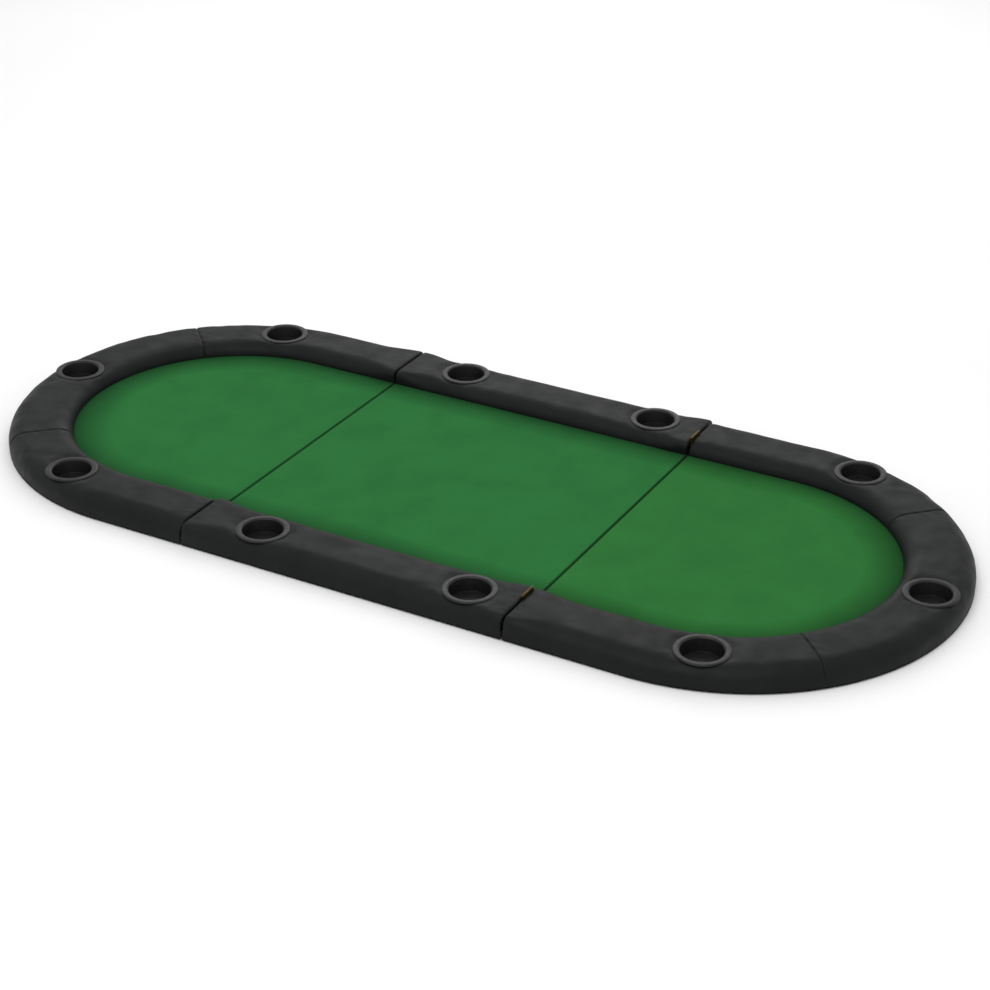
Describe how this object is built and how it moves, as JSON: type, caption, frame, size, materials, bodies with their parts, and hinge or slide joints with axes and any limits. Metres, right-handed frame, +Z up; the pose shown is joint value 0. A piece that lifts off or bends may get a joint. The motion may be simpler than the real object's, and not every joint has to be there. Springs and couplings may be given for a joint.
{
  "type": "folding poker table top",
  "caption": "Long round-ended card table top in hinged sections: felt playing area inside a padded leather rail with sunken cup holders.",
  "frame": {"origin": "middle of the open top in plan, at the lowest point, the bottoms of the lower hinge knuckles", "axes": "+X along the length, from the section that folds under to the one that folds over; +Y across the top; +Z up"},
  "size_m": [2.057, 0.915, 0.054],
  "materials": {
    "felt": "short green felt",
    "leather": "semi-matt black artificial leather",
    "foam": "open-cell foam",
    "board": "plain fibreboard",
    "timber": "planed plywood",
    "cup": "satin moulded plastic",
    "brass": "brushed",
    "steel": "plated"
  },
  "bodies": {
    "centre_section": {"centre_base_board": "board", "centre_underlay": "foam", "centre_felt": "felt", "centre_near_rail_frame": "timber", "centre_near_rail_pad": "foam", "centre_near_rail_cover": "leather", "centre_near_cup_1": "cup", "centre_near_cup_2": "cup", "centre_far_rail_frame": "timber", "centre_far_rail_pad": "foam", "centre_far_rail_cover": "leather", "centre_far_cup_1": "cup", "centre_far_cup_2": "cup", "left_hinge_near_centre_leaf": "brass", "left_hinge_near_centre_screw_1": "steel", "left_hinge_near_centre_screw_2": "steel", "left_hinge_near_pin": "brass", "left_hinge_far_centre_leaf": "brass", "left_hinge_far_centre_screw_1": "steel", "left_hinge_far_centre_screw_2": "steel", "left_hinge_far_pin": "brass", "right_hinge_near_centre_leaf": "brass", "right_hinge_near_centre_screw_1": "steel", "right_hinge_near_centre_screw_2": "steel", "right_hinge_near_pin": "brass", "right_hinge_far_centre_leaf": "brass", "right_hinge_far_centre_screw_1": "steel", "right_hinge_far_centre_screw_2": "steel", "right_hinge_far_pin": "brass"},
    "left_section": {"left_base_board": "board", "left_underlay": "foam", "left_felt": "felt", "left_rail_frame": "timber", "left_rail_pad": "foam", "left_rail_cover": "leather", "left_cup_1": "cup", "left_cup_2": "cup", "left_cup_3": "cup", "left_hinge_near_wing_leaf": "brass", "left_hinge_near_wing_screw_1": "steel", "left_hinge_near_wing_screw_2": "steel", "left_hinge_far_wing_leaf": "brass", "left_hinge_far_wing_screw_1": "steel", "left_hinge_far_wing_screw_2": "steel"},
    "right_section": {"right_base_board": "board", "right_underlay": "foam", "right_felt": "felt", "right_rail_frame": "timber", "right_rail_pad": "foam", "right_rail_cover": "leather", "right_cup_1": "cup", "right_cup_2": "cup", "right_cup_3": "cup", "right_hinge_near_wing_leaf": "brass", "right_hinge_near_wing_screw_1": "steel", "right_hinge_near_wing_screw_2": "steel", "right_hinge_far_wing_leaf": "brass", "right_hinge_far_wing_screw_1": "steel", "right_hinge_far_wing_screw_2": "steel"}
  },
  "joints": [
    {"name": "right_fold", "type": "hinge", "parent": "centre_section", "child": "right_section", "pos_m": [0.334, 0.36, 0.0518], "axis": [0, -1, 0], "range_deg": [0, 180]},
    {"name": "left_fold", "type": "hinge", "parent": "centre_section", "child": "left_section", "pos_m": [-0.365, 0.33, 0.0023], "axis": [0, -1, 0], "range_deg": [0, 180]}
  ]
}
